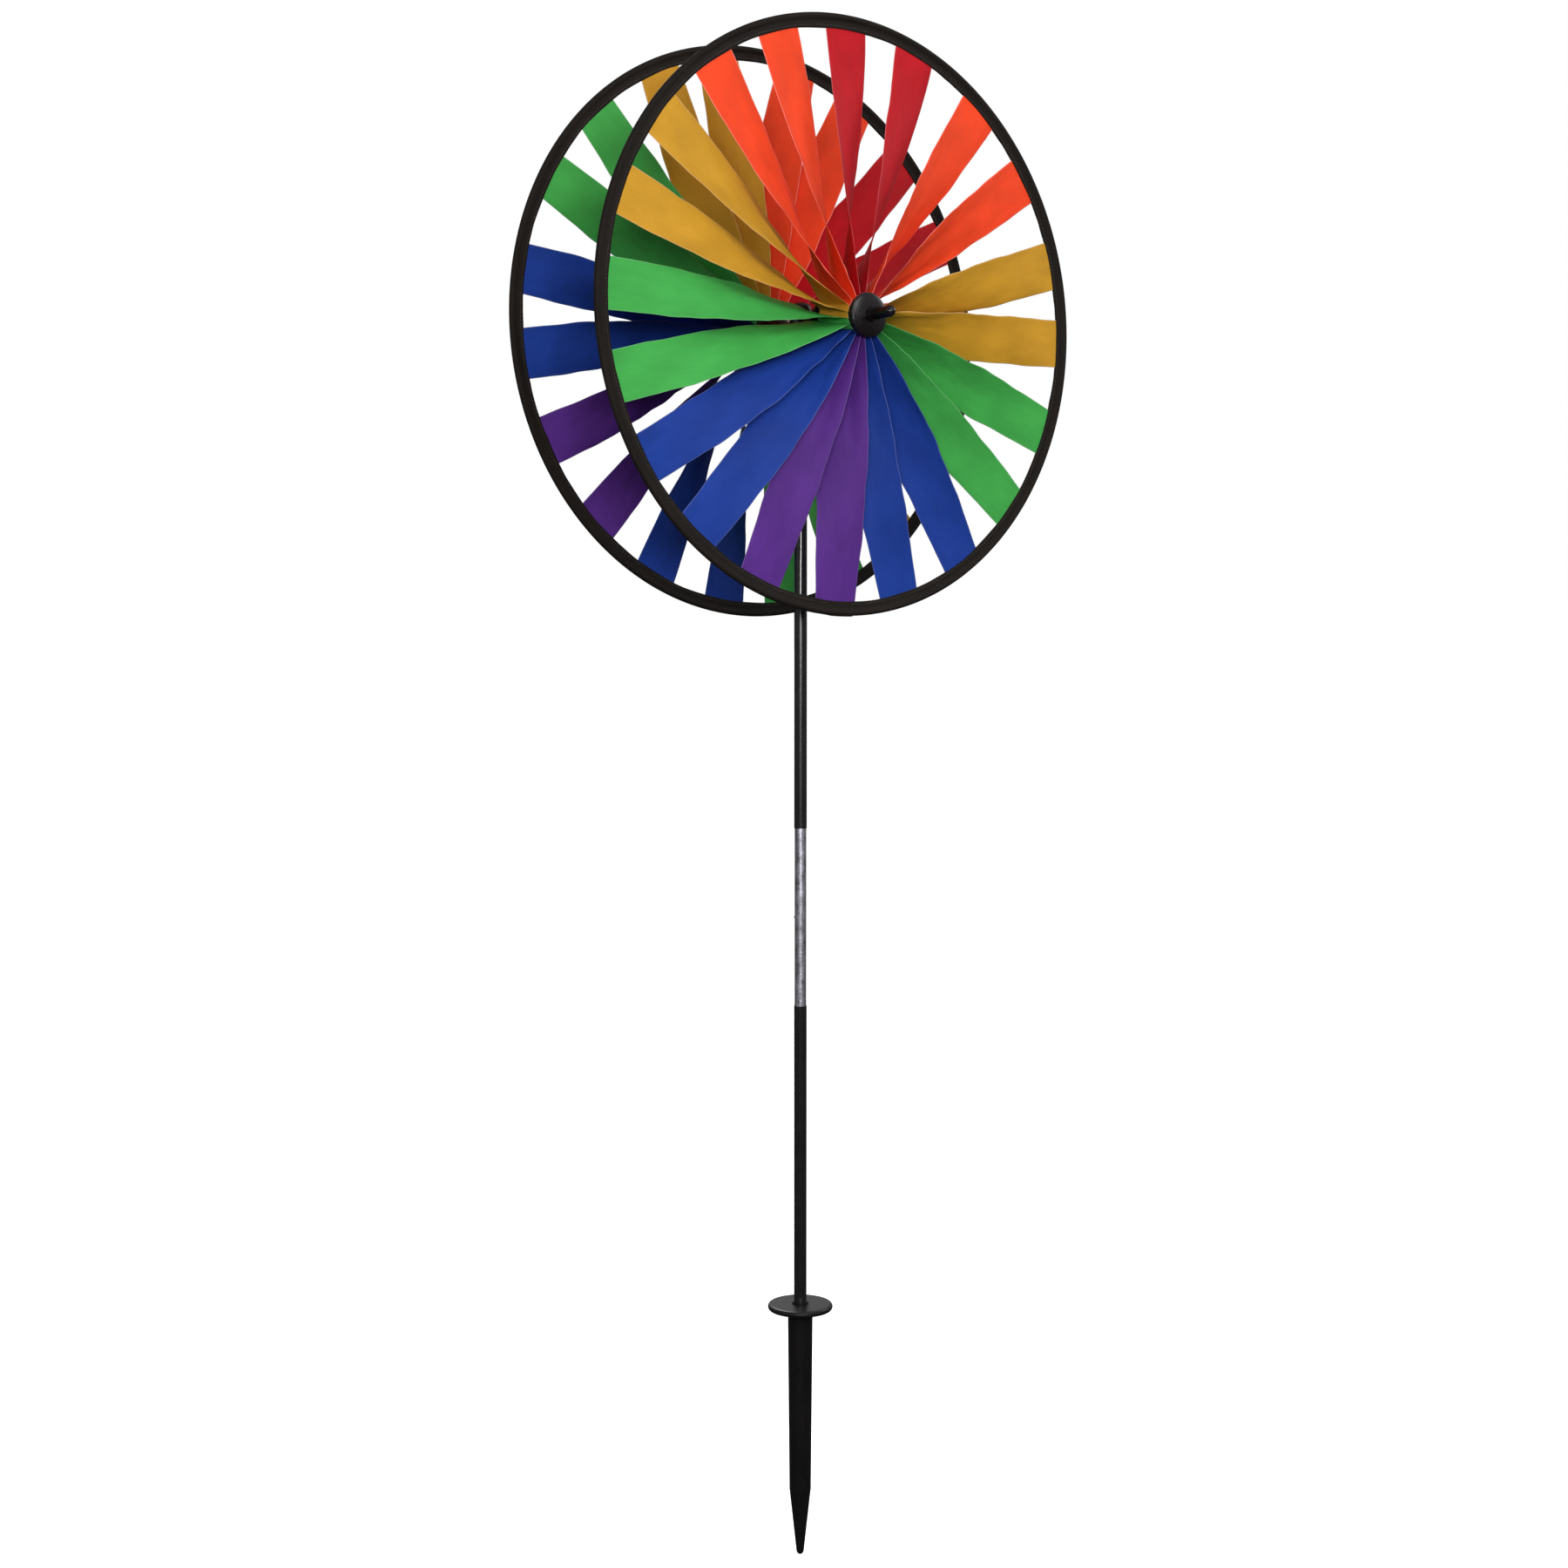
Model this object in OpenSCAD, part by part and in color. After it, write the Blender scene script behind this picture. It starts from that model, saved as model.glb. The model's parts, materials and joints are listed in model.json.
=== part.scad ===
// Twin-wheel garden pinwheel on a two-section pole with a ground stake.
// Origin: ground level on the pole's axis. +Z is up and the axle lies along Y, front wheel towards -Y.

/* [Wheels] */
// Outer diameter of each cloth wheel
wheel_d = 483; // [430:1:530]
// Distance from the pole's axis to the middle plane of each wheel
wheel_offset = 64.5; // [62:0.5:70]
// Width of one cloth strip
strip_w = 41; // [30:0.5:42]
// Thickness of the solid that stands for a strip
strip_t = 0.8; // [0.6:0.1:1.2]
// Angle of a strip to the wheel's plane where it meets the hub
strip_twist = 84; // [60:1:86]
// How late a strip turns: 1 spreads its turn evenly, more keeps it near the hub
strip_late = 1.55; // [1:0.05:1.8]
// Radial width of the black tape hem
hem_w = 12; // [10:0.5:16]
// Diameter of the hoop rod inside the hem
hoop_rod_d = 3; // [2:0.5:3.5]

/* [Hub] */
// Diameter of the hub's two end discs
hub_disc_d = 35.5; // [34:0.5:44]
// Thickness of a hub disc at its middle
hub_disc_t = 6.4; // [5:0.2:8]
// Distance from the wheel's plane to the middle of each hub disc
hub_disc_offset = 27.3; // [26:0.1:28]
// Diameter of the axle rod
axle_d = 5; // [4:0.1:6]
// Distance from the pole's axis to the tip of each axle cap
axle_tip_y = 123.5; // [122:0.5:140]
// Diameter of an axle cap
axle_cap_d = 9.4; // [8:0.1:11]

/* [Pole] */
// Height of the axle above the ground
axle_h = 837; // [700:1:950]
// Outer diameter of both black pole tubes
pole_d = 10.9; // [10.8:0.1:12]
// Outer diameter of the silver connector tube
connector_d = 10; // [9.8:0.1:10]
// Wall of the connector tube
connector_wall = 0.9; // [0.6:0.1:1.5]
// Height of the lower pole's top end
lower_pole_top = 264; // [200:1:280]
// Length of connector that shows between the two poles
connector_shown = 152; // [60:1:160]
// Length of connector inside each pole
connector_hidden = 50; // [30:1:70]

/* [Stake] */
// Diameter of the step flange
flange_d = 56; // [50:1:70]
// Thickness of the step flange
flange_t = 5.3; // [4:0.1:8]
// Depth of the stake's tip below the ground
stake_depth = 216.5; // [190:0.5:300]
// Diameter of the spike just below the flange
spike_top_d = 21.6; // [19:0.1:26]
// Diameter of the spike where its point begins
spike_low_d = 18.7; // [16:0.1:18.9]
// Depth of the pole's socket below the ground
socket_depth = 60; // [40:1:90]

/* [Hidden] */
STRIPS = 20;

// Facets round a turned part, round a hoop, across a hoop's section and round the small dimple
FACETS = 72;
HOOP_FACETS = 144;
SECTION_FACETS = 24;
DIMPLE_FACETS = 32;

// Radial clearance of a turning fit and of a sliding or pressed fit
RUN = 0.05;
SLIDE = 0.03;

// How far a cutter passes through a face, and how far joined solids run into each other
CUT = 1;
BITE = 0.5;

RED = [0.72, 0.12, 0.15];
ORANGE = [0.93, 0.28, 0.15];
GOLD = [0.76, 0.56, 0.18];
GREEN = [0.26, 0.62, 0.28];
BLUE = [0.14, 0.24, 0.55];
PURPLE = [0.33, 0.18, 0.50];
BLACK = [0.13, 0.11, 0.11];
SILVER = [0.62, 0.61, 0.66];

// Strip colours, clockwise from the topmost strip as seen from the front
PAIRS = [RED, ORANGE, GOLD, GREEN, BLUE, PURPLE, BLUE, GREEN, GOLD, ORANGE];

SIDES = ["front", "rear"];
STRIP_NAMES = [for (side = SIDES) [for (i = [1 : STRIPS]) str(side, "_strip_", i < 10 ? "0" : "", i)]];

wheel_r = wheel_d / 2;
hem_inner_r = wheel_r - hem_w;
strip_pitch = 360 / STRIPS;

// Angle, from +X towards +Z, of each wheel's first strip of PAIRS
front_phase = 88;
rear_phase = 44.4;

// Angle by which each wheel's first strip leans off its radius; the one opposite leans the other way
front_lean = 2.1;
rear_lean = 0;

// Hem: a tube of tape round the hoop rod and a flat margin inside it
hem_padding = 1;
hem_tube_d = hoop_rod_d + 2 * hem_padding;
hoop_r = wheel_r - hem_tube_d / 2;
margin_t = 1.6;
ferrule_wall = 0.45;
ferrule_d = hoop_rod_d + 2 * ferrule_wall;
ferrule_arc = 7;
ferrule_angle = 262;
rod_end_gap_arc = 0.1;
hem_bore_d = ferrule_d + 2 * RUN;

// Hub spool
drum_r = 15;
drum_wall = 1.5;
drum_half = hub_disc_offset - hub_disc_t / 2;
axle_bore_r = axle_d / 2 + RUN;
core_tube_wall = 2;
core_tube_r = axle_bore_r + core_tube_wall;
web_t = 1.6;
web_count = 4;
web_gap = 1;
skirt_len = 5;
skirt_wall = 1.4;
disc_edge_t = 3.6;
disc_chamfer = 0.6;
boss_flare = 0.4;
outer_boss_r = 5.7;
outer_boss_h = 4.3;
inner_boss_h = 1.5;

// A strip runs from the spool to the hem's inner edge, and its square corners clear both
strip_hub_gap = 0.6;
strip_hem_gap = 0.2;
strip_inner_r = drum_r + strip_hub_gap;
strip_outer_r = sqrt(pow(hem_inner_r - strip_hem_gap, 2) - pow(strip_w / 2, 2));
strip_len = strip_outer_r - strip_inner_r;
strip_slices = 12;
strip_segments = 4;

// Axle caps
outer_boss_y = wheel_offset + hub_disc_offset + hub_disc_t / 2 + outer_boss_h;
cap_gap = 0.6;
cap_start_y = outer_boss_y + cap_gap;
cap_crown = 6.5;
cap_end_gap = 0.2;
cap_chamfer = 0.4;
axle_end_y = axle_tip_y - cap_crown;

// Tee head
head_r = 9.2;
head_below = 32;
head_above = 14;
head_dome = 6.5;
head_chamfer = 1;
dome_steps = 8;
arm_r = 5.5;
arm_gap = 0.5;
arm_end_y = wheel_offset - hub_disc_offset - hub_disc_t / 2 - inner_boss_h - arm_gap;
pole_top_gap = 8;
head_socket_roof = 7;

// Pole
pole_r = pole_d / 2;
pole_bore_r = connector_d / 2 + SLIDE;
socket_r = pole_r + RUN;
pole_floor_gap = 2;
upper_pole_bottom = lower_pole_top + connector_shown;
upper_pole_top = axle_h - pole_top_gap;
connector_mid = lower_pole_top + connector_shown / 2;
stop_r = 1.7;
stop_out = 0.6;
stop_angle = 142;

// Stake
flange_round = 2.2;
flange_edge_turn = 60;
collar_h = 2;
collar_wall = 1.5;
spike_straight = 158;
spike_tip_r = 3.3;
spike_tip_steps = 4;

module at_axle() {
    translate([0, 0, axle_h]) children();
}

// Stands a shape that was drawn along +Z on the axle, pointing to the front
module along_front() {
    at_axle() rotate([90, 0, 0]) children();
}

// Children are drawn for the front wheel; the rear wheel is their mirror image
module on_side(side) {
    mirror([0, side == "rear" ? 1 : 0, 0]) children();
}

module front_wheel_plane() {
    along_front() translate([0, 0, wheel_offset]) children();
}

module tube(outer_r, inner_r, length) {
    difference() {
        cylinder(r = outer_r, h = length, $fn = FACETS);
        translate([0, 0, -CUT]) cylinder(r = inner_r, h = length + 2 * CUT, $fn = FACETS);
    }
}

// Quarter ellipse from the rim of a dome to its crown
function dome_points(r, h, base) =
    [for (a = [0 : 90 / dome_steps : 90]) [r * cos(a), base + h * sin(a)]];

module ground_stake() {
    spike_bottom = -stake_depth;
    color(BLACK) difference() {
        union() {
            rotate_extrude($fn = FACETS) polygon(concat(
                [[0, 0], [spike_top_d / 2, 0]],
                [[flange_d / 2 - flange_round, 0]],
                [for (a = [-flange_edge_turn : flange_edge_turn / 2 : flange_edge_turn]) [
                    flange_d / 2 - flange_round + flange_round * cos(a),
                    flange_t / 2 + flange_t / 2 * sin(a)
                ]],
                [[flange_d / 2 - flange_round, flange_t]],
                [[0, flange_t]]
            ));
            cylinder(r = socket_r + collar_wall, h = flange_t + collar_h, $fn = FACETS);
            rotate_extrude($fn = FACETS) polygon(concat(
                [[0, BITE], [spike_top_d / 2, BITE], [spike_top_d / 2, 0]],
                [[spike_low_d / 2, -spike_straight]],
                [for (a = [0 : 90 / spike_tip_steps : 90]) [
                    spike_tip_r * cos(a),
                    spike_bottom + spike_tip_r * (1 - sin(a))
                ]]
            ));
        }
        translate([0, 0, -socket_depth])
            cylinder(r = socket_r, h = socket_depth + flange_t + collar_h + CUT, $fn = FACETS);
    }
}

module lower_pole() {
    bottom = -socket_depth + pole_floor_gap;
    color(BLACK) translate([0, 0, bottom]) tube(pole_r, pole_bore_r, lower_pole_top - bottom);
}

module pole_connector() {
    tube_r = connector_d / 2;
    length = connector_shown + 2 * connector_hidden;
    color(SILVER) difference() {
        union() {
            translate([0, 0, connector_mid - length / 2])
                cylinder(r = tube_r, h = length, $fn = FACETS);
            rotate([0, 0, stop_angle])
                translate([tube_r + stop_out - stop_r, 0, connector_mid])
                sphere(r = stop_r, $fn = DIMPLE_FACETS);
        }
        translate([0, 0, connector_mid - length / 2 - CUT])
            cylinder(r = tube_r - connector_wall, h = length + 2 * CUT, $fn = FACETS);
    }
}

module upper_pole() {
    color(BLACK) translate([0, 0, upper_pole_bottom])
        tube(pole_r, pole_bore_r, upper_pole_top - upper_pole_bottom);
}

module tee_head() {
    color(BLACK) difference() {
        union() {
            at_axle() rotate_extrude($fn = FACETS) polygon(concat(
                [[0, -head_below], [head_r - head_chamfer, -head_below]],
                [[head_r, head_chamfer - head_below]],
                dome_points(head_r, head_dome, head_above)
            ));
            along_front() translate([0, 0, -arm_end_y])
                cylinder(r = arm_r, h = 2 * arm_end_y, $fn = FACETS);
        }
        translate([0, 0, axle_h - head_below - CUT])
            cylinder(r = socket_r, h = head_below + CUT - head_socket_roof, $fn = FACETS);
        along_front() translate([0, 0, -arm_end_y - CUT])
            cylinder(r = axle_d / 2 + SLIDE, h = 2 * (arm_end_y + CUT), $fn = FACETS);
    }
}

module axle_rod() {
    color(SILVER) along_front() translate([0, 0, -axle_end_y])
        cylinder(r = axle_d / 2, h = 2 * axle_end_y, $fn = FACETS);
}

module axle_cap(side) {
    cap_r = axle_cap_d / 2;
    length = axle_tip_y - cap_start_y;
    color(BLACK) on_side(side) along_front() translate([0, 0, cap_start_y]) difference() {
        rotate_extrude($fn = FACETS) polygon(concat(
            [[0, 0], [cap_r - cap_chamfer, 0], [cap_r, cap_chamfer]],
            dome_points(cap_r, cap_r, length - cap_r)
        ));
        translate([0, 0, -CUT])
            cylinder(r = axle_d / 2 + SLIDE, h = CUT + axle_end_y + cap_end_gap - cap_start_y, $fn = FACETS);
    }
}

module rim_rod(side) {
    color(SILVER) on_side(side) front_wheel_plane()
        rotate([0, 0, ferrule_angle + rod_end_gap_arc / 2])
        rotate_extrude(angle = 360 - rod_end_gap_arc, $fn = HOOP_FACETS)
        translate([hoop_r, 0]) circle(d = hoop_rod_d, $fn = SECTION_FACETS);
}

module rim_ferrule(side) {
    color(SILVER) on_side(side) front_wheel_plane()
        rotate([0, 0, ferrule_angle - ferrule_arc / 2])
        rotate_extrude(angle = ferrule_arc, $fn = HOOP_FACETS)
        translate([hoop_r, 0]) difference() {
            circle(d = ferrule_d, $fn = SECTION_FACETS);
            circle(d = hoop_rod_d + 2 * SLIDE, $fn = SECTION_FACETS);
        }
}

module rim_sleeve(side) {
    color(BLACK) on_side(side) front_wheel_plane()
        rotate_extrude($fn = HOOP_FACETS)
        difference() {
            union() {
                translate([hoop_r, 0]) circle(d = hem_tube_d, $fn = SECTION_FACETS);
                translate([hem_inner_r, -margin_t / 2]) square([hoop_r - hem_inner_r, margin_t]);
            }
            translate([hoop_r, 0]) circle(d = hem_bore_d, $fn = SECTION_FACETS);
        }
}

// Spool that the strips' inner ends are fixed round: a drum, a bearing tube and webs between them
module hub_core(side) {
    color(BLACK) on_side(side) front_wheel_plane() translate([0, 0, -drum_half]) {
        difference() {
            union() {
                tube(drum_r, drum_r - drum_wall, 2 * drum_half);
                cylinder(r = core_tube_r, h = 2 * drum_half, $fn = FACETS);
                for (i = [0 : web_count / 2 - 1])
                    rotate([0, 0, 180 * i / (web_count / 2)])
                        translate([drum_wall / 2 - drum_r, -web_t / 2, skirt_len + web_gap])
                        cube([2 * drum_r - drum_wall, web_t, 2 * (drum_half - skirt_len - web_gap)]);
            }
            translate([0, 0, -CUT]) cylinder(r = axle_bore_r, h = 2 * (drum_half + CUT), $fn = FACETS);
        }
    }
}

// Disc that closes one end of the spool, drawn with its outer face up and its inner face at z = 0
module hub_cap(boss_r, boss_h) {
    disc_r = hub_disc_d / 2;
    skirt_r = drum_r - drum_wall - RUN;
    difference() {
        union() {
            rotate_extrude($fn = FACETS) polygon(concat(
                [[0, 0], [disc_r - disc_chamfer, 0], [disc_r, disc_chamfer]],
                dome_points(disc_r, hub_disc_t - disc_edge_t, disc_edge_t)
            ));
            cylinder(r1 = boss_r + boss_flare, r2 = boss_r, h = hub_disc_t + boss_h, $fn = FACETS);
            translate([0, 0, -skirt_len]) tube(skirt_r, skirt_r - skirt_wall, skirt_len + BITE);
        }
        translate([0, 0, -CUT]) cylinder(r = axle_bore_r, h = hub_disc_t + boss_h + 2 * CUT, $fn = FACETS);
    }
}

module hub_outer_cap(side) {
    color(BLACK) on_side(side) front_wheel_plane()
        translate([0, 0, drum_half]) hub_cap(outer_boss_r, outer_boss_h);
}

module hub_inner_cap(side) {
    color(BLACK) on_side(side) front_wheel_plane()
        mirror([0, 0, 1]) translate([0, 0, drum_half]) hub_cap(outer_boss_r, inner_boss_h);
}

// Outline of a strip's section at a share of the way from the hub to the hem, where it lies flat
function strip_section(share) =
    let (turn = strip_twist * pow(1 - share, strip_late))
    [
        for (face = [-1, 1], i = [0 : strip_segments])
        let (x = -face * strip_w * (i / strip_segments - 0.5), y = face * strip_t / 2)
        [x * cos(turn) - y * sin(turn), x * sin(turn) + y * cos(turn), strip_len * share]
    ];

// Two triangles for each cell between one section and the next, cut the same way on both faces
function strip_skin(ring) = [
    for (j = [0 : strip_slices - 1], i = [0 : ring - 1])
    let (a = j * ring + i, b = j * ring + (i + 1) % ring, c = b + ring, d = a + ring)
    each (i < ring / 2 ? [[a, c, b], [a, d, c]] : [[a, d, b], [b, d, c]])
];

// Cells that close a strip at the section whose first point is start
function strip_end(ring, start, order) = [
    for (i = [0 : strip_segments - 1])
    let (cell = [i, i + 1, ring - 2 - i, ring - 1 - i])
    [for (k = order) start + cell[k]]
];

module strip_body() {
    ring = 2 * (strip_segments + 1);
    polyhedron(
        points = [for (j = [0 : strip_slices]) each strip_section(j / strip_slices)],
        faces = concat(
            strip_end(ring, 0, [0, 1, 2, 3]),
            strip_skin(ring),
            strip_end(ring, strip_slices * ring, [3, 2, 1, 0])
        )
    );
}

// A strip turns on its own centreline, from flat at the hem to nearly along the axle at the hub
module strip(side, index) {
    phase = side == "front" ? front_phase : rear_phase;
    lean = (side == "front" ? front_lean : rear_lean) * cos(strip_pitch * index);
    color(PAIRS[floor(index / 2)]) on_side(side) at_axle()
        translate([0, -wheel_offset, 0])
        rotate([180, -90 - phase + strip_pitch * index, 0])
        translate([0, 0, strip_inner_r])
        rotate([0, lean, 0])
        strip_body();
}

ground_stake();
lower_pole();
pole_connector();
upper_pole();
tee_head();
axle_rod();
for (side = SIDES) {
    axle_cap(side);
    rim_rod(side);
    rim_ferrule(side);
    rim_sleeve(side);
    hub_core(side);
    hub_outer_cap(side);
    hub_inner_cap(side);
}
for (s = [0 : 1], i = [0 : STRIPS - 1]) {
    strip(SIDES[s], i);
}
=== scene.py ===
"""Garden pinwheel: two hooped wheels of cloth strips on one axle, on a pole with a ground stake."""
import json
import math

import bpy
import numpy as np
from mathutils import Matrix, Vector


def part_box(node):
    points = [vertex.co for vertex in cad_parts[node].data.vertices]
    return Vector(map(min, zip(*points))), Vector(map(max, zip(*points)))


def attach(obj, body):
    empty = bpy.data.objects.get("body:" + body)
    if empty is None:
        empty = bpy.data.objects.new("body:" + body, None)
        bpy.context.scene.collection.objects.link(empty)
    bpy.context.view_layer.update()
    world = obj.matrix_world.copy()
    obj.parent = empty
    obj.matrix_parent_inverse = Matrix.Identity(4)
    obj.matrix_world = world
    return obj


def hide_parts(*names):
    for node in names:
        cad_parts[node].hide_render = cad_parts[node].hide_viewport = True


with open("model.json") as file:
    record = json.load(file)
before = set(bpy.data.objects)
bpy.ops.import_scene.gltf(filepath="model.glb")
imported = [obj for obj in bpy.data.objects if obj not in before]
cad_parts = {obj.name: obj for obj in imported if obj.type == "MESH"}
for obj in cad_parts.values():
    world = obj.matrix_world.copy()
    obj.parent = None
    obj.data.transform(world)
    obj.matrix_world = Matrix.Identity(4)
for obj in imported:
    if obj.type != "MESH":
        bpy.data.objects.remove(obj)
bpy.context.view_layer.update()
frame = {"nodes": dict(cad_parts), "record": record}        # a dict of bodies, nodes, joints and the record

MM = 0.001
SIDES = ("front", "rear")
STRIPS = 20

# Cloth strips
STRIP_WIDTH = 41 * MM
STRIP_CELLS = (10, 54)          # across and along
STRIP_THICKNESS = 0.28 * MM
STRIP_TUCK = 3.5 * MM           # length held inside the hem
STRIP_SEED = 20
HUB_TWIST = 81                  # degrees from the wheel's plane, at the spool
LATE_TWIST = (1.3, 1.85)        # above 1, most of the twist is near the hub
# Most degrees that a wheel's strips are sewn off their places at the hem, and the spread's seed.
# Both come from a search of 100,000 seeds a wheel for the spread nearest to a list of leans. The
# front wheel's leans were worked out from the photograph, and so were 9 of the rear wheel's. The
# other 11 belong to strips that it doesn't show, and were made up.
UNEVEN = {"front": (1.25, 41222), "rear": (1.45, 29874)}
END_SHARE = 0.02                # of a strip's length, the part that counts as its end
WRAP = 5.6 * MM                 # length of each strip's end that is laid round the spool
WRAP_ROWS = 5
WRAP_LIFT = 0.2                 # mm over the spool at the wrapped end, rising to where it leaves
WRAP_RISE = 0.7
SLACK = (0.005, 0.015)          # spare length, as a share of the span
SWAY = 3 * MM                   # furthest that a strip's middle leaves its centreline
CUPPING = (-1.2 * MM, 2.6 * MM)  # how far a strip bellies out between its edges
PLEAT = 0.8 * MM                # height of the soft folds that run along a twisted strip
FOLDS = (1.2, 2.2)              # half waves of those folds between the middle and an edge
MOST_SAG = 9 * MM
SETTLE_FRAMES = 34
FUSED_EDGE_HIGHLIGHT_WIDTH = 0.35 * MM          # width of the hot-cut edge and of its painted highlight
THREAD_PITCH = 0.42 * MM        # length of one wave of the weave, two threads
CLOTH_HAZE = 0.006              # light that a weave throws back white, taken off its colour
CLOTH_COLOURS = (               # of each pair of strips, round the wheel
    "red", "orange", "gold", "green", "blue", "purple", "blue", "green", "gold", "orange",
)
CLOTH = {
    "quality": 10,
    "mass": 0.00012,
    "tension_stiffness": 12,
    "compression_stiffness": 12,
    "shear_stiffness": 4,
    "bending_stiffness": 0.02,
    "tension_damping": 6,
    "compression_damping": 6,
    "shear_damping": 6,
    "air_damping": 3,
}

# Hem tape, folded round the hoop
TAPE_THICKNESS = 0.5 * MM
TAPE_GAP = 0.16 * MM            # half the space between its layers, where the strips' ends are
TAPE_ROUND = 360
TAPE_LAP = 5                    # degrees by which the tape's ends overlap
TAPE_LAP_AT = {"front": 266, "rear": 325}
LAP_EASE = 0.03                 # radians over which the upper end climbs onto the lower
LAP_CLEARANCE = 0.08 * MM
FREE_EDGE = 6 * MM              # width along each edge that the sewing puckers
TAPE_RIB = 0.7 * MM
TAPE_THREAD = 0.5 * MM
STITCH_LENGTH = 2.4 * MM
STITCH_PITCH = 3.1 * MM
STITCH_RADIUS = 0.21 * MM
STITCH_INSET = 2.3 * MM
STITCH_SIDES = 6
# A stitch's rings: place along its length, thickness and height, where 1 is its middle's
STITCH_SHAPE = (
    (-0.5, 0.15, -0.5), (-0.36, 0.8, 0.0), (0.0, 1.0, 0.2), (0.36, 0.8, 0.0), (0.5, 0.15, -0.5),
)

# Camera, set to the photograph's view
CAMERA_AZIMUTH = -36.6
CAMERA_ELEVATION = 3.97
CAMERA_DISTANCE = 1.9355
CAMERA_LENS = 52.39
LOOK_BELOW_AXLE = 0.3834
LOOK_LEFT = 0.0140

# Light: softboxes round the object, a wide lamp beside the camera, a room that is darker below
ROOM_FADE = (-0.15, 0.35)       # rise of the directions between which the room brightens
ROOM_LOW = 0.06
ROOM_HIGH = 0.42
BACKDROP_LEVEL = 1.0
SOFTBOX_SIZE = (1.3, 1.1)
SOFTBOX_DISTANCE = 2.5
SOFTBOXES = {                   # azimuth, elevation and watts
    "front": (2, 24, 26),
    "right": (78, 22, 12),
    "back": (160, 28, 28),
    "left": (-84, 14, 6),
}
LAMP_POWER = 22
LAMP_SIZE = (0.9, 0.3)
LAMP_RIGHT = 0.12               # metres from the camera
LAMP_UP = 0.22                  # metres from the camera
LAMP_AIM = 0.2                  # metres below the axle
FLOOR_SIZE = 60.0
FLOOR_GLOW = 0.85


def corners(node):
    """A CAD node's lowest and highest corner as arrays."""
    low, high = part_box(node)
    return np.array(low), np.array(high)


class Wheel:
    """Where one wheel is: its middle plane, its outward direction and the radii of its parts."""

    def __init__(self, side):
        low, high = corners(f"{side}_rim_sleeve")
        self.side = side
        self.body = f"{side}_wheel"
        self.centre = (low + high) / 2
        self.out = math.copysign(1, self.centre[1])
        self.radius = (high[2] - low[2]) / 2
        self.hem_depth = high[1] - low[1]
        self.hoop_radius = self.radius - self.hem_depth / 2
        hub_low, hub_high = corners(f"{side}_hub_core")
        self.drum_radius = (hub_high[2] - hub_low[2]) / 2
        self.hem_inner_radius = float(self.polar(f"{side}_rim_sleeve")[0].min())
        most, seed = UNEVEN[side]
        self.uneven = np.radians(np.random.default_rng(seed).uniform(-most, most, STRIPS))

    def polar(self, node):
        """Distances from the axle and angles, from +X towards +Z, of a node's points."""
        points = np.array([v.co for v in frame["nodes"][node].data.vertices])
        points = np.unique(points.round(7), axis=0) - self.centre
        return np.hypot(points[:, 0], points[:, 2]), np.arctan2(points[:, 2], points[:, 0])

    def end_angles(self, node):
        """The directions, from the axle, of a strip's hub end and its hem end."""
        distance, angle = self.polar(node)
        share = (distance - distance.min()) / np.ptp(distance)
        ends = share < END_SHARE, share > 1 - END_SHARE
        return [float(np.angle(np.exp(1j * angle[end]).mean())) for end in ends]

    def place(self, radial, around, outward, angle):
        """Points from distances along, across and out of the radius at an angle."""
        radial, around, outward = np.broadcast_arrays(radial, around, outward)
        c, s = np.cos(angle), np.sin(angle)
        return np.stack([
            self.centre[0] + radial * c - around * s,
            self.centre[1] + self.out * outward,
            self.centre[2] + radial * s + around * c,
        ], -1)


# ---------------------------------------------------------------- meshes


def mesh_object(name, points, faces, smooth=True):
    mesh = bpy.data.meshes.new(name)
    mesh.from_pydata(np.asarray(points).reshape(-1, 3).tolist(), [], faces)
    mesh.polygons.foreach_set("use_smooth", [smooth] * len(mesh.polygons))
    mesh.update()
    piece = bpy.data.objects.new(name, mesh)
    bpy.context.scene.collection.objects.link(piece)
    return piece


def grid_faces(rows, columns, closed=False, flip=False):
    """Quads of a rows x columns grid of points, whose columns may close into a ring."""
    faces = []
    for i in range(rows - 1):
        for j in range(columns if closed else columns - 1):
            a, b = i * columns + j, i * columns + (j + 1) % columns
            c, d = b + columns, a + columns
            faces.append((a, d, c, b) if flip else (a, b, c, d))
    return faces


def set_attribute(piece, name, values):
    """A named vector for each point, which a material reads instead of a UV map."""
    layer = piece.data.attributes.new(name, "FLOAT_VECTOR", "POINT")
    layer.data.foreach_set("vector", np.asarray(values, np.float32).ravel())


def modifier(piece, kind, **settings):
    m = piece.modifiers.new(kind.title(), kind)
    for key, value in settings.items():
        setattr(m, key, value)
    return m


def bake_modifiers(piece):
    """Replaces a piece's mesh by what its modifiers make of it."""
    graph = bpy.context.evaluated_depsgraph_get()
    mesh = bpy.data.meshes.new_from_object(piece.evaluated_get(graph), depsgraph=graph)
    piece.modifiers.clear()
    old = piece.data
    piece.shape_key_clear()
    piece.data = mesh
    bpy.data.meshes.remove(old)


# ---------------------------------------------------------------- materials


SOCKETS = {
    "specular_ior_level": "Specular IOR Level",
    "sheen_weight": "Sheen Weight",
    "sheen_roughness": "Sheen Roughness",
    "coat_weight": "Coat Weight",
    "coat_roughness": "Coat Roughness",
}


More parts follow.
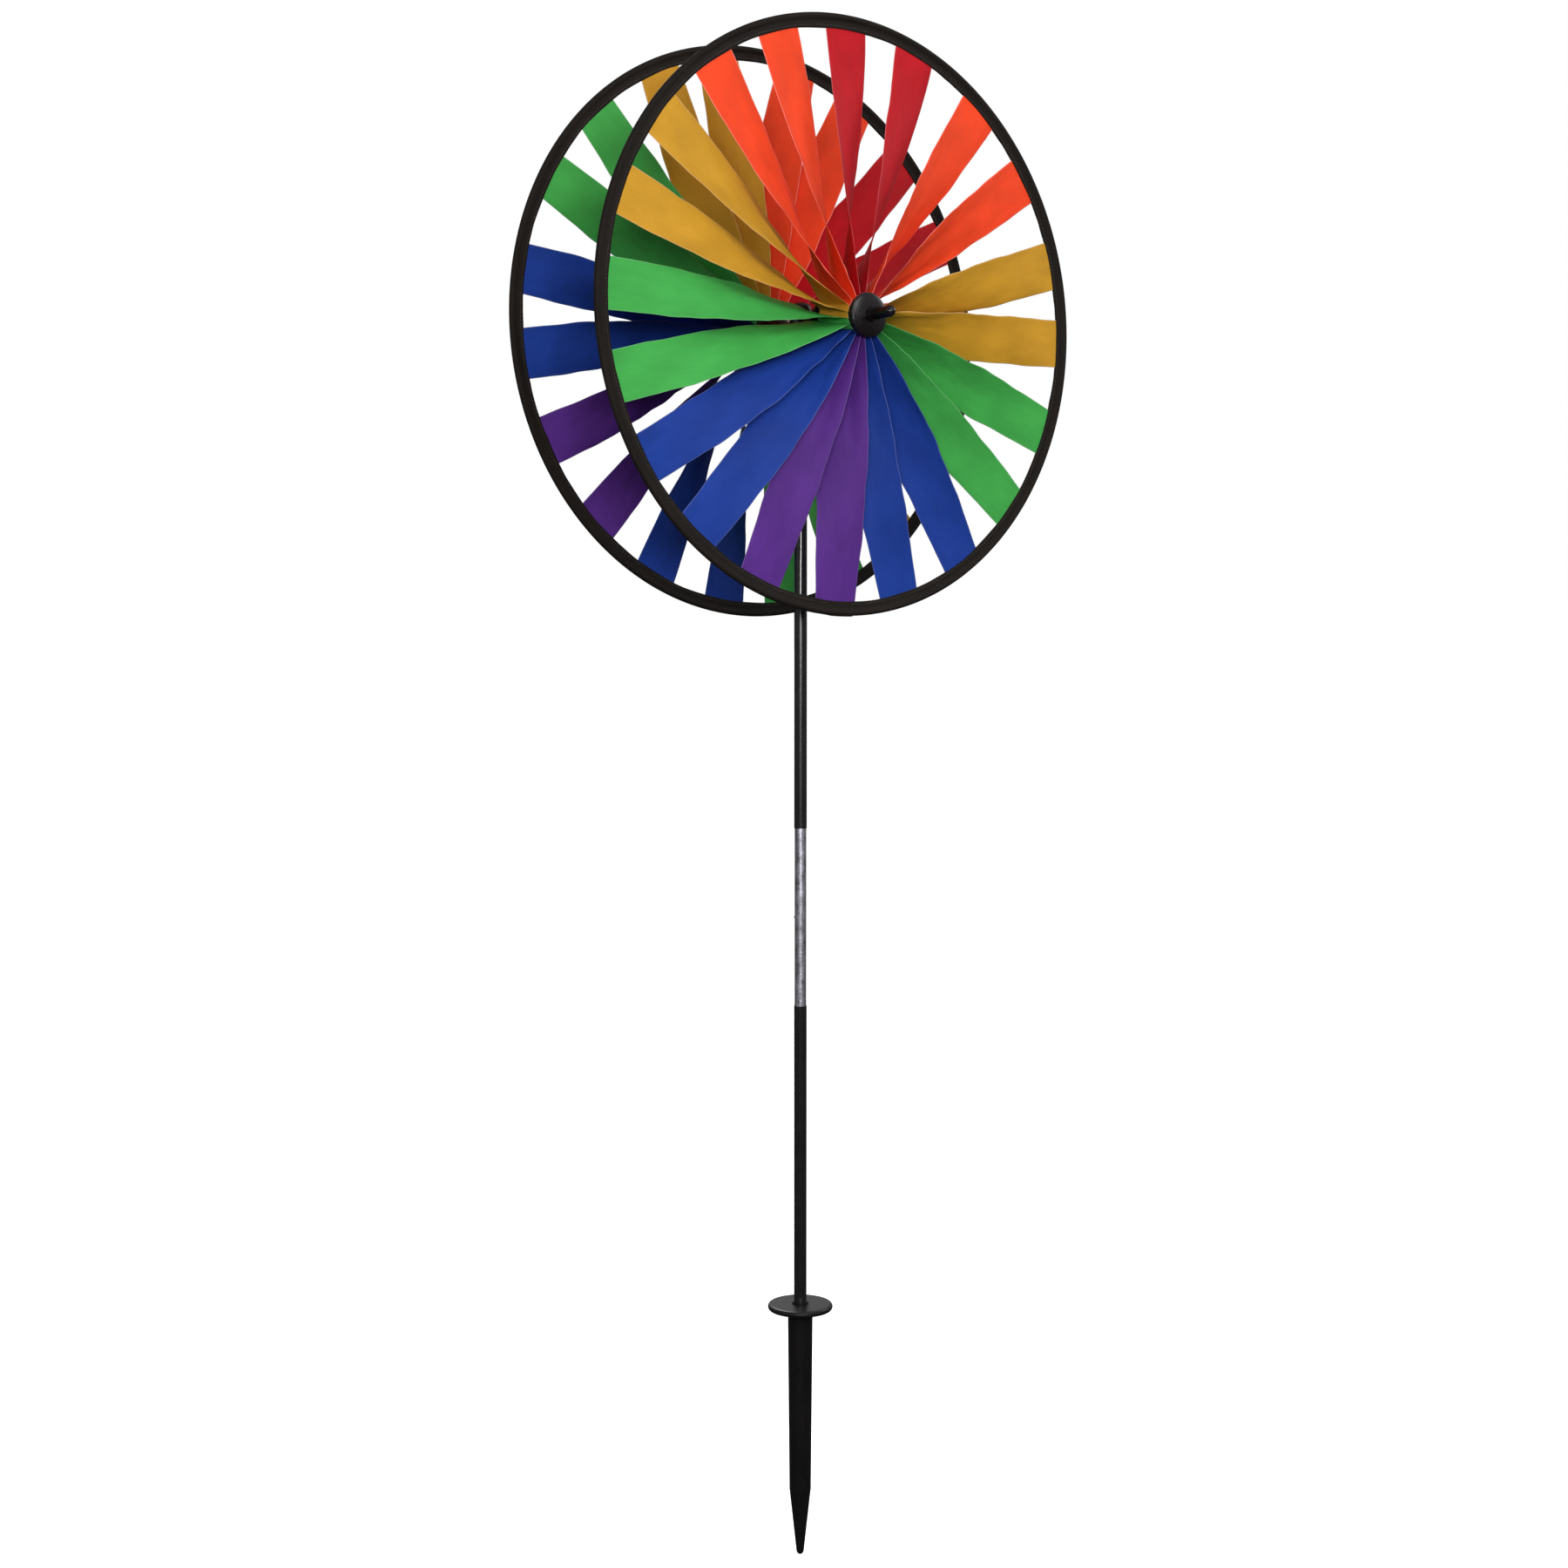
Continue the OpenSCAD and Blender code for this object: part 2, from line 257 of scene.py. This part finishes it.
class Surface:
    """One material: a Principled shader and short ways to add the nodes that feed it."""

    def __init__(self, name, **sockets):
        self.material = bpy.data.materials.new(name)
        self.material.use_nodes = True
        self.tree = self.material.node_tree
        self.shader = self.tree.nodes["Principled BSDF"]
        for key, value in sockets.items():
            self.shader.inputs[SOCKETS.get(key, key.capitalize())].default_value = value

    def node(self, kind, inputs=(), **settings):
        n = self.tree.nodes.new(kind)
        for key, value in settings.items():
            setattr(n, key, value)
        for key, value in dict(inputs).items():
            self.feed(n.inputs[key], value)
        return n

    def feed(self, socket, value):
        if isinstance(value, bpy.types.NodeSocket):
            self.tree.links.new(value, socket)
        else:
            socket.default_value = value

    def coordinates(self):
        return self.node("ShaderNodeTexCoord").outputs["Object"]

    def attribute(self, name):
        return self.node("ShaderNodeAttribute", attribute_name=name).outputs["Vector"]

    def split(self, vector):
        return self.node("ShaderNodeSeparateXYZ", {"Vector": vector}).outputs

    def stretch(self, vector, factors):
        n = self.node("ShaderNodeVectorMath", {0: vector, 1: factors}, operation="MULTIPLY")
        return n.outputs[0]

    def calc(self, operation, a, b=0.0):
        return self.node("ShaderNodeMath", {0: a, 1: b}, operation=operation).outputs[0]

    def ribs(self, value, pitch):
        """A wave from -1 to 1 that repeats at that pitch."""
        return self.calc("SINE", self.calc("MULTIPLY", value, 2 * math.pi / pitch))

    def noise(self, vector, scale, detail=3.0, rough=0.5):
        return self.node("ShaderNodeTexNoise", {
            "Vector": vector, "Scale": scale, "Detail": detail, "Roughness": rough,
        }).outputs["Fac"]

    def cells(self, vector, scale):
        return self.node("ShaderNodeTexVoronoi", {"Vector": vector, "Scale": scale}).outputs

    def between(self, value, low, high, to_low=0.0, to_high=1.0):
        """The value's place between low and high, from to_low to to_high."""
        return self.node("ShaderNodeMapRange", {
            "Value": value, "From Min": low, "From Max": high, "To Min": to_low, "To Max": to_high,
        }).outputs["Result"]

    def blend(self, factor, a, b):
        n = self.node("ShaderNodeMix", data_type="RGBA")
        self.feed(n.inputs["Factor"], factor)
        self.feed(n.inputs[6], a)
        self.feed(n.inputs[7], b)
        return n.outputs[2]

    def colour(self, value):
        self.feed(self.shader.inputs["Base Color"], value)

    def roughness(self, value):
        self.feed(self.shader.inputs["Roughness"], value)

    def bump(self, height, depth, strength=1.0):
        n = self.node("ShaderNodeBump",
                      {"Height": height, "Distance": depth, "Strength": strength})
        self.tree.links.new(n.outputs["Normal"], self.shader.inputs["Normal"])


def shade(rgb, factor):
    return tuple(min(c * factor, 1.0) for c in rgb[:3]) + (1.0,)


def slot_colour(name):
    """The record's base colour of a material slot."""
    for material in frame["record"]["materials"]:
        if material["slot"] == name:
            return tuple(material["base_color"][:3]) + (1.0,)
    raise KeyError(name)


def cloth_material(colour):
    """Woven polyester: fine plain weave, faint slubs and a paler hot-cut edge, partly painted highlight."""
    own = slot_colour(f"cloth_{colour}")[:3]
    rgb = tuple(max(c - CLOTH_HAZE, 0.002) for c in own) + (1.0,)
    s = Surface(f"cloth_{colour}_weave", sheen_weight=0.01, sheen_roughness=0.4,
                specular_ior_level=0.1)
    s.shader.inputs["Sheen Tint"].default_value = shade(rgb, 1.6)
    cut = s.attribute("cut")
    across, along, _ = s.split(cut)
    weave = s.calc("MULTIPLY", s.ribs(across, THREAD_PITCH), s.ribs(along, THREAD_PITCH))
    slubs = s.noise(s.stretch(cut, (2600, 60, 1)), 1.0, 2.0)
    cloudy = s.noise(s.stretch(cut, (38, 22, 1)), 1.0, 2.0)
    tone = s.calc("ADD", s.between(slubs, 0.3, 0.7, -0.05, 0.05),
                  s.between(cloudy, 0.3, 0.7, -0.09, 0.09))
    body = s.blend(s.between(tone, -0.14, 0.14), shade(rgb, 0.82), shade(rgb, 1.16))
    half = STRIP_WIDTH / 2
    # The cut edge is paler: partly the hot-cut edge's own colour, partly a painted highlight where the edge
    # catches light
    fused_edge_highlight_mask = s.between(s.calc("ABSOLUTE", across), half - FUSED_EDGE_HIGHLIGHT_WIDTH * 1.1, half - FUSED_EDGE_HIGHLIGHT_WIDTH * 0.5)
    fused_edge_highlight_colour = tuple(c + 0.22 * max(rgb[:3]) for c in rgb[:3]) + (1.0,)
    s.colour(s.blend(fused_edge_highlight_mask, body, fused_edge_highlight_colour))
    s.roughness(s.between(s.noise(cut, 900, 2.0), 0.3, 0.7, 0.46, 0.6))
    crinkle = s.noise(s.stretch(cut, (90, 45, 1)), 1.0, 3.0, 0.55)
    s.bump(s.calc("ADD", s.calc("MULTIPLY", weave, 0.035), crinkle), 0.9 * MM, 0.6)
    return s.material


def tape_material():
    """Black grosgrain tape: ribs across its width, a little dust and lint."""
    rgb = slot_colour("hem_tape")
    s = Surface("hem_tape_weave", sheen_weight=0.012, sheen_roughness=0.5, specular_ior_level=0.11)
    s.shader.inputs["Sheen Tint"].default_value = (0.55, 0.52, 0.5, 1)
    tape = s.attribute("cut")
    across, along, _ = s.split(tape)
    ribs = s.ribs(along, TAPE_RIB)
    threads = s.ribs(across, TAPE_THREAD)
    lint = s.noise(s.stretch(tape, (700, 300, 1)), 1.0, 4.0, 0.7)
    wear = s.noise(s.stretch(tape, (120, 14, 1)), 1.0, 3.0)
    base = s.blend(s.between(wear, 0.35, 0.7), shade(rgb, 0.38), shade(rgb, 0.75))
    s.colour(s.blend(s.between(lint, 0.66, 0.8, 0, 0.3), base, shade(rgb, 2.2)))
    s.roughness(s.between(wear, 0.3, 0.7, 0.55, 0.72))
    height = s.calc("ADD", s.calc("MULTIPLY", ribs, 0.5), s.calc("MULTIPLY", threads, 0.2))
    s.bump(s.calc("ADD", height, s.calc("MULTIPLY", wear, 2.0)), 0.12 * MM, 0.8)
    return s.material


def thread_material():
    s = Surface("stitch_thread", specular_ior_level=0.4, sheen_weight=0.2)
    where = s.coordinates()
    twist = s.noise(s.stretch(where, (4000, 4000, 4000)), 1.0, 2.0)
    s.colour(s.blend(twist, (0.012, 0.010, 0.010, 1), (0.045, 0.038, 0.034, 1)))
    s.roughness(s.between(twist, 0.3, 0.7, 0.4, 0.6))
    s.bump(twist, 0.1 * MM, 0.6)
    return s.material


def moulded_material(slot, gloss):
    """Black injection-moulded plastic: fine texture, soft flow marks, scuffs on the high spots."""
    rgb = slot_colour(slot)
    s = Surface(f"{slot}_moulded", specular_ior_level=0.3)
    where = s.coordinates()
    fine = s.noise(where, 2400, 2.0)
    flow = s.noise(s.stretch(where, (60, 60, 18)), 1.0, 3.0)
    scuff = s.noise(s.stretch(where, (420, 420, 90)), 1.0, 5.0, 0.65)
    base = s.blend(s.between(flow, 0.3, 0.7), shade(rgb, 0.3), shade(rgb, 0.55))
    s.colour(s.blend(s.between(scuff, 0.62, 0.78, 0, 0.4), base, shade(rgb, 1.8)))
    matt = s.between(scuff, 0.55, 0.75, gloss, gloss + 0.22)
    s.roughness(s.calc("ADD", matt, s.between(fine, 0.3, 0.7, -0.04, 0.04)))
    s.bump(s.calc("ADD", s.calc("MULTIPLY", fine, 0.3), flow), 0.08 * MM, 0.8)
    return s.material


def enamel_material():
    """Gloss enamel on tube: slight orange peel, hairline scratches along the pole."""
    rgb = slot_colour("pole_paint")
    s = Surface("pole_enamel", specular_ior_level=0.5, coat_weight=0.4, coat_roughness=0.14)
    where = s.coordinates()
    peel = s.noise(where, 420, 2.0)
    scratch = s.noise(s.stretch(where, (1500, 1500, 9)), 1.0, 3.0, 0.7)
    dust = s.noise(s.stretch(where, (160, 160, 60)), 1.0, 4.0, 0.6)
    base = s.blend(s.between(dust, 0.3, 0.75), shade(rgb, 0.35), shade(rgb, 0.8))
    s.colour(s.blend(s.between(scratch, 0.66, 0.76, 0, 0.4), base, (0.06, 0.055, 0.055, 1)))
    s.roughness(s.between(scratch, 0.45, 0.75, 0.2, 0.34))
    s.bump(s.calc("ADD", peel, s.calc("MULTIPLY", scratch, 0.2)), 0.07 * MM, 0.7)
    return s.material


def galvanised_material():
    """Zinc-plated tube: mottled spangle, blue-grey stains and drawn lines along its length."""
    rgb = slot_colour("galvanised_tube")
    s = Surface("zinc_plated_tube", metallic=1.0)
    where = s.coordinates()
    # The cells' edges are pushed about, so that they look like spangle and not like a diagram
    drift = s.node("ShaderNodeTexNoise", {"Vector": where, "Scale": 500.0}).outputs["Color"]
    push = s.stretch(drift, (2.4 * MM,) * 3)
    pushed = s.node("ShaderNodeVectorMath", {0: where, 1: push}, operation="ADD").outputs[0]
    spangle = s.cells(pushed, 760)
    flake = s.split(spangle["Color"])[0]
    stain = s.noise(s.stretch(where, (240, 240, 75)), 1.0, 4.0, 0.65)
    lines = s.noise(s.stretch(where, (2600, 2600, 14)), 1.0, 2.0)
    tone = s.blend(s.between(stain, 0.35, 0.68), shade(rgb, 0.6), shade(rgb, 1.5))
    tone = s.blend(s.between(flake, 0.2, 0.9, 0, 0.35), tone, shade(rgb, 2.0))
    s.colour(s.blend(s.between(lines, 0.6, 0.72, 0, 0.4), tone, shade(rgb, 0.5)))
    s.roughness(s.calc("ADD", s.between(flake, 0, 1, 0.34, 0.42),
                       s.between(stain, 0.3, 0.7, -0.04, 0.06)))
    s.bump(s.calc("ADD", s.calc("MULTIPLY", flake, 0.5), lines), 0.04 * MM, 0.7)
    return s.material


def steel_material(slot, rough):
    """Drawn steel or aluminium: fine lines along the stock and a few darker marks."""
    rgb = slot_colour(slot)
    s = Surface(f"{slot}_drawn", metallic=1.0)
    where = s.coordinates()
    lines = s.noise(s.stretch(where, (3000, 12, 3000)), 1.0, 3.0)
    marks = s.noise(where, 260, 4.0, 0.6)
    s.colour(s.blend(s.between(marks, 0.4, 0.75), shade(rgb, 1.1), shade(rgb, 0.45)))
    s.roughness(s.between(lines, 0.3, 0.7, rough - 0.06, rough + 0.1))
    s.bump(lines, 0.03 * MM, 0.6)
    return s.material


def fibre_rod_material():
    """Pultruded glass-fibre rod: pale resin with fibres along it."""
    rgb = slot_colour("hoop_rod")
    s = Surface("hoop_rod_fibre", specular_ior_level=0.5)
    fibres = s.noise(s.stretch(s.coordinates(), (900, 900, 900)), 1.0, 4.0)
    s.colour(s.blend(fibres, shade(rgb, 0.8), shade(rgb, 1.15)))
    s.roughness(s.between(fibres, 0.3, 0.7, 0.35, 0.5))
    s.bump(fibres, 0.05 * MM, 0.5)
    return s.material


def floor_material():
    s = Surface("studio_floor", specular_ior_level=0.1)
    s.shader.inputs["Emission Color"].default_value = (1, 1, 1, 1)
    s.shader.inputs["Emission Strength"].default_value = FLOOR_GLOW
    fine = s.noise(s.coordinates(), 6, 3.0)
    s.colour(s.blend(fine, (0.9, 0.9, 0.9, 1), (0.93, 0.93, 0.93, 1)))
    s.roughness(s.between(fine, 0.3, 0.7, 0.85, 0.95))
    return s.material


# ---------------------------------------------------------------- cloth strips


def strip_piece(wheel, index, chance):
    """One strip before it settles, from its end laid round the spool out to the hem."""
    node = f"{wheel.side}_strip_{index + 1:02d}"
    angle, hem_angle = wheel.end_angles(node)
    cells, rows = STRIP_CELLS
    across = np.linspace(-0.5, 0.5, cells + 1) * STRIP_WIDTH
    share = np.linspace(0, 1, rows + 1)[:, None]
    start, end = wheel.drum_radius + 0.9 * MM, wheel.hem_inner_radius + STRIP_TUCK
    span = end - start
    slack = chance.uniform(*SLACK)
    hub_turn = math.radians(HUB_TWIST + chance.uniform(-2, 2))
    lean = math.remainder(hem_angle - angle, 2 * math.pi) + wheel.uneven[index]
    late = chance.uniform(*LATE_TWIST)
    sway = SWAY * chance.uniform(-1, 1)
    cupping = chance.uniform(*CUPPING)
    folds, fold_phase = chance.uniform(*FOLDS), chance.uniform(0, 2 * math.pi)
    waves = chance.uniform(0, 2 * math.pi, 4)

    # The strip turns on its centreline, and nothing bends it at its two ends
    turn = hub_turn * (1 - share) ** late
    middle = np.sin(math.pi * share)
    width = cut_edges(across, share, middle, waves)
    side = 2 * across / STRIP_WIDTH
    belly = cupping * (1 - side ** 2) * middle ** 1.5
    belly = belly + PLEAT * np.cos(folds * math.pi * side + fold_phase) * (1 - share) * middle
    around = width * np.cos(turn) - belly * np.sin(turn) + sway * middle
    outward = (width * np.sin(turn) + belly * np.cos(turn)
               + 0.4 * sway * np.sin(2 * math.pi * share))
    # The hem's end follows the hoop's curve, so the cut end stays inside the tape
    bowed = np.sqrt(np.maximum(end ** 2 - around[-1] ** 2, 0)) - end
    radial = start + span * share + 0 * across + bowed * share ** 3
    points = wheel.place(radial, around, outward, angle + lean * share)

    # The inner end bends over and lies on the spool, under the next strip's
    lap = np.linspace(1, 0, WRAP_ROWS, endpoint=False)[:, None]
    lap_radius = wheel.drum_radius + (WRAP_LIFT + WRAP_RISE * (1 - lap) ** 2) * MM
    lap_angle = angle + lap * WRAP / wheel.drum_radius + around[0] / start
    wrap = wheel.place(lap_radius + 0 * across, 0, outward[0] + 0 * lap, lap_angle)
    piece = mesh_object(f"{node}_cloth", np.concatenate([wrap, points]),
                        grid_faces(WRAP_ROWS + rows + 1, cells + 1, flip=wheel.out > 0))
    length = span * (1 + slack)
    distance = np.concatenate([-WRAP * lap, length * share]) + WRAP
    flat = np.stack(np.broadcast_arrays(across, distance, 0.0), -1).reshape(-1, 3)
    # Each strip reads the noises at a height of its own, so no two look the same
    set_attribute(piece, "cut", flat + (0, 0, index * 0.37))
    return piece, flat, length + WRAP, node


def cut_edges(across, share, middle, waves):
    """Distances across a strip whose hot-cut edges stray a little from straight."""
    side = 2 * across / STRIP_WIDTH
    one = (0.5 * np.sin(share * 19 + waves[0]) + 0.3 * np.sin(share * 47 + waves[1])) * MM
    other = (0.5 * np.sin(share * 23 + waves[2]) + 0.3 * np.sin(share * 41 + waves[3])) * MM
    return across + np.where(side > 0, one * middle * side, other * middle * -side)


def hold_and_settle(pieces):
    """Cloth simulation of all strips at once, each held along both ends."""
    scene = bpy.context.scene
    cells, rows = STRIP_CELLS
    width = cells + 1
    rows += WRAP_ROWS
    starts = {}
    for piece, flat in pieces:
        starts[piece.name] = np.array([v.co for v in piece.data.vertices])
        # Its flat cut shape is what the cloth tries to keep
        piece.shape_key_add(name="Basis")
        cut = piece.shape_key_add(name="cut_flat")
        cut.data.foreach_set("co", flat.astype(np.float32).ravel())
        held = piece.vertex_groups.new(name="held")
        hub_end = range(width * (WRAP_ROWS + 1))
        hem_end = range(width * (rows - 1), width * (rows + 1))
        held.add([*hub_end, *hem_end], 1.0, "REPLACE")
        m = modifier(piece, "CLOTH")
        for key, value in CLOTH.items():
            setattr(m.settings, key, value)
        m.settings.vertex_group_mass = "held"
        m.settings.rest_shape_key = cut
        m.collision_settings.use_collision = False
        m.collision_settings.use_self_collision = False
        m.point_cache.frame_start = 1
        m.point_cache.frame_end = SETTLE_FRAMES
    for step in range(1, SETTLE_FRAMES + 1):
        scene.frame_set(step)
    for piece, _ in pieces:
        bake_modifiers(piece)
        count = len(piece.data.vertices)
        now = np.zeros(count * 3)
        piece.data.vertices.foreach_get("co", now)
        moved = now.reshape(-1, 3) - starts[piece.name]
        # No point goes further than the cap, which keeps the cloth near its CAD solid
        far = np.linalg.norm(moved, axis=1, keepdims=True)
        capped = starts[piece.name] + moved * np.minimum(1, MOST_SAG / np.maximum(far, 1e-9))
        piece.data.vertices.foreach_set("co", capped.ravel())
        piece.data.update()
    scene.frame_set(1)


def make_strips(wheels):
    chance = np.random.default_rng(STRIP_SEED)
    looks = {colour: cloth_material(colour) for colour in dict.fromkeys(CLOTH_COLOURS)}
    made = []
    for wheel in wheels:
        for index in range(STRIPS):
            piece, flat, length, node = strip_piece(wheel, index, chance)
            made.append((wheel, piece, flat, length, node, CLOTH_COLOURS[index // 2]))
    hold_and_settle([(piece, flat) for _, piece, flat, *_ in made])
    for wheel, piece, _, length, node, colour in made:
        piece.data.materials.append(looks[colour])
        modifier(piece, "SOLIDIFY", thickness=STRIP_THICKNESS, offset=0, use_even_offset=True)
        modifier(piece, "SUBSURF", levels=1, render_levels=1)
        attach(piece, wheel.body)
        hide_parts(node)


# ---------------------------------------------------------------- hem


def tape_path(wheel):
    """The folded tape's section from edge to edge round the hoop, as (radius, outward)."""
    gap = TAPE_THICKNESS / 2 + TAPE_GAP
    tube = wheel.hem_depth / 2 - TAPE_THICKNESS / 2
    inner, hoop = wheel.hem_inner_radius + 0.1 * MM, wheel.hoop_radius
    neck = hoop - tube * 1.55
    steps = np.linspace(0, 1, 6)
    margin = [(inner + (neck - inner) * t, gap) for t in steps]
    swell = [(neck + (hoop - neck) * t, gap + (tube - gap) * math.sin(t * math.pi / 2) ** 1.3)
             for t in steps[1:]]
    crown = [(hoop + tube * math.sin(a), tube * math.cos(a)) for a in math.pi / 2 * steps[1:]]
    half = margin + swell + crown
    return np.array(half + [(r, -d) for r, d in reversed(half[:-1])])


def hem_tape(wheel):
    """Black tape folded round the hoop, its ends lapped over each other."""
    path = tape_path(wheel)
    steps = np.concatenate([[0], np.cumsum(np.linalg.norm(np.diff(path, axis=0), axis=1))])
    full = 2 * math.pi
    turns = np.linspace(0, full + math.radians(TAPE_LAP), TAPE_ROUND + 1)[:, None]
    tangent = np.gradient(path, axis=0)
    tangent /= np.linalg.norm(tangent, axis=1, keepdims=True)
    normal = np.stack([-tangent[:, 1], tangent[:, 0]], -1)
    if normal[len(path) // 2, 0] < 0:
        normal = -normal
    lapped = np.clip((turns - full + LAP_EASE) / LAP_EASE, 0, 1)
    lift = lapped * lapped * (3 - 2 * lapped) * (TAPE_THICKNESS + LAP_CLEARANCE)
    # The sewing puckers the free edges a little
    free_edge = np.clip(1 - np.minimum(steps, steps[-1] - steps) / FREE_EDGE, 0, 1)
    ripple = 0.13 * MM * np.sin(turns * 61) + 0.1 * MM * np.sin(turns * 97 + 1)
    wander = 0.22 * MM * np.sin(turns * 13) + 0.18 * MM * np.sin(turns * 29 + 2)
    radial = path[:, 0] + lift * normal[:, 0] + wander * free_edge
    outward = path[:, 1] + lift * normal[:, 1] + ripple * free_edge
    angle = math.radians(TAPE_LAP_AT[wheel.side]) + turns
    piece = mesh_object(f"{wheel.side}_hem_tape", wheel.place(radial, 0, outward, angle),
                        grid_faces(len(turns), len(path), flip=wheel.out < 0))
    set_attribute(piece, "cut", np.stack(
        np.broadcast_arrays(steps, turns * wheel.hoop_radius, 0.0), -1))
    piece.data.materials.append(tape_material())
    modifier(piece, "SOLIDIFY", thickness=TAPE_THICKNESS, offset=0, use_even_offset=True)
    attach(piece, wheel.body)
    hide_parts(f"{wheel.side}_rim_sleeve")


def stitch(wheel, radius, angle, face):
    """Points and faces of one stitch, on the outward (1) or inward (-1) face of the hem."""
    surface = TAPE_THICKNESS + TAPE_GAP
    points = []
    for along, girth, height in STITCH_SHAPE:
        reach = STITCH_RADIUS * girth
        for q in range(STITCH_SIDES):
            a = 2 * math.pi * q / STITCH_SIDES
            points.append(wheel.place(
                radius + reach * math.cos(a),
                along * STITCH_LENGTH,
                face * (surface + STITCH_RADIUS * height + reach * math.sin(a)),
                angle,
            ))
    turned = face * wheel.out > 0
    faces = grid_faces(len(STITCH_SHAPE), STITCH_SIDES, closed=True, flip=turned)
    start = tuple(range(STITCH_SIDES))
    end = tuple(range(len(points) - STITCH_SIDES, len(points)))
    return points, faces + [start if turned else start[::-1], end[::-1] if turned else end]


def hem_stitches(wheel):
    """Lockstitches through both layers of tape, just outside its inner edge."""
    radius = wheel.hem_inner_radius + STITCH_INSET
    count = round(2 * math.pi * radius / STITCH_PITCH)
    points, faces = [], []
    for face in (1, -1):
        for k in range(count):
            angle = 2 * math.pi * (k + 0.25 * face) / count
            new_points, new_faces = stitch(wheel, radius, angle, face)
            faces += [tuple(len(points) + i for i in f) for f in new_faces]
            points += new_points
    piece = mesh_object(f"{wheel.side}_hem_stitches", points, faces)
    piece.data.materials.append(thread_material())
    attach(piece, wheel.body)


# ---------------------------------------------------------------- hard parts


def dress_hard_parts():
    """Better materials for the CAD nodes whose shape stays."""
    looks = {
        "pole_paint": enamel_material(),
        "galvanised_tube": galvanised_material(),
        "axle_steel": steel_material("axle_steel", 0.3),
        "ferrule_metal": steel_material("ferrule_metal", 0.35),
        "hoop_rod": fibre_rod_material(),
        "stake_plastic": moulded_material("stake_plastic", 0.34),
        "head_plastic": moulded_material("head_plastic", 0.32),
        "cap_plastic": moulded_material("cap_plastic", 0.2),
        "hub_plastic": moulded_material("hub_plastic", 0.26),
    }
    for part in frame["record"]["subparts"]:
        look = looks.get(part["material_slot"])
        if look is not None:
            for slot in frame["nodes"][part["node"]].material_slots:
                slot.material = look


# ---------------------------------------------------------------- stage


def area_light(name, size, power, position, target):
    data = bpy.data.lights.new(name, "AREA")
    data.shape = "RECTANGLE"
    data.size, data.size_y = size
    data.energy = power
    lamp = bpy.data.objects.new(name, data)
    lamp.location = position
    lamp.visible_camera = False
    lamp.rotation_euler = (Vector(target) - Vector(position)).to_track_quat("-Z", "Y").to_euler()
    bpy.context.scene.collection.objects.link(lamp)


def from_centre(azimuth, elevation, distance):
    a, e = math.radians(azimuth), math.radians(elevation)
    return Vector((math.sin(a) * math.cos(e), -math.cos(a) * math.cos(e), math.sin(e))) * distance


def make_floor(height):
    edges = (-FLOOR_SIZE, FLOOR_SIZE)
    floor = mesh_object("studio_floor", [(x, y, height) for x in edges for y in edges],
                        [(0, 2, 3, 1)], smooth=False)
    floor.data.materials.append(floor_material())
    # The pale floor is there to be seen; it throws no light up at the object
    floor.visible_diffuse = False
    floor.visible_glossy = False


def make_world():
    """White where the camera looks; for light and reflections a dim room, darker below."""
    world = bpy.data.worlds.new("studio_white")
    world.use_nodes = True
    tree = world.node_tree
    height = tree.nodes.new("ShaderNodeSeparateXYZ")
    tree.links.new(tree.nodes.new("ShaderNodeTexCoord").outputs["Generated"], height.inputs[0])
    room = tree.nodes.new("ShaderNodeMapRange")
    room.inputs["From Min"].default_value, room.inputs["From Max"].default_value = ROOM_FADE
    room.inputs["To Min"].default_value = ROOM_LOW
    room.inputs["To Max"].default_value = ROOM_HIGH
    tree.links.new(height.outputs["Z"], room.inputs["Value"])
    level = tree.nodes.new("ShaderNodeMapRange")
    level.inputs["To Max"].default_value = BACKDROP_LEVEL
    tree.links.new(room.outputs["Result"], level.inputs["To Min"])
    seen = tree.nodes.new("ShaderNodeLightPath").outputs["Is Camera Ray"]
    tree.links.new(seen, level.inputs["Value"])
    background = tree.nodes["Background"]
    background.inputs["Color"].default_value = (1, 1, 1, 1)
    tree.links.new(level.outputs["Result"], background.inputs["Strength"])
    bpy.context.scene.world = world


def make_lights(axle_height):
    middle = Vector((0, 0, axle_height))
    for name, (azimuth, elevation, power) in SOFTBOXES.items():
        place = middle + from_centre(azimuth, elevation, SOFTBOX_DISTANCE)
        area_light(f"{name}_softbox", SOFTBOX_SIZE, power, place, middle)
    camera = bpy.context.scene.camera
    beside = camera.matrix_world @ Vector((LAMP_RIGHT, LAMP_UP, 0))
    area_light("lamp", LAMP_SIZE, LAMP_POWER, beside, middle - Vector((0, 0, LAMP_AIM)))


def place_camera(axle_height):
    target = Vector((0, 0, axle_height - LOOK_BELOW_AXLE))
    position = target + from_centre(CAMERA_AZIMUTH, CAMERA_ELEVATION, CAMERA_DISTANCE)
    a = math.radians(CAMERA_AZIMUTH)
    target -= Vector((math.cos(a), math.sin(a), 0)) * LOOK_LEFT
    data = bpy.data.cameras.new("photo_camera")
    data.sensor_width = 36
    data.lens = CAMERA_LENS
    data.clip_start = 0.01
    camera = bpy.data.objects.new("photo_camera", data)
    camera.location = position
    camera.rotation_euler = (target - position).to_track_quat("-Z", "Y").to_euler()
    bpy.context.scene.collection.objects.link(camera)
    bpy.context.scene.camera = camera
    bpy.context.view_layer.update()


bpy.context.scene.view_settings.view_transform = "Standard"
wheels = [Wheel(side) for side in SIDES]
axle_height = float(wheels[0].centre[2])
place_camera(axle_height)
make_strips(wheels)
for wheel in wheels:
    hem_tape(wheel)
    hem_stitches(wheel)
dress_hard_parts()
make_floor(float(corners("ground_stake")[0][2]))
make_world()
make_lights(axle_height)
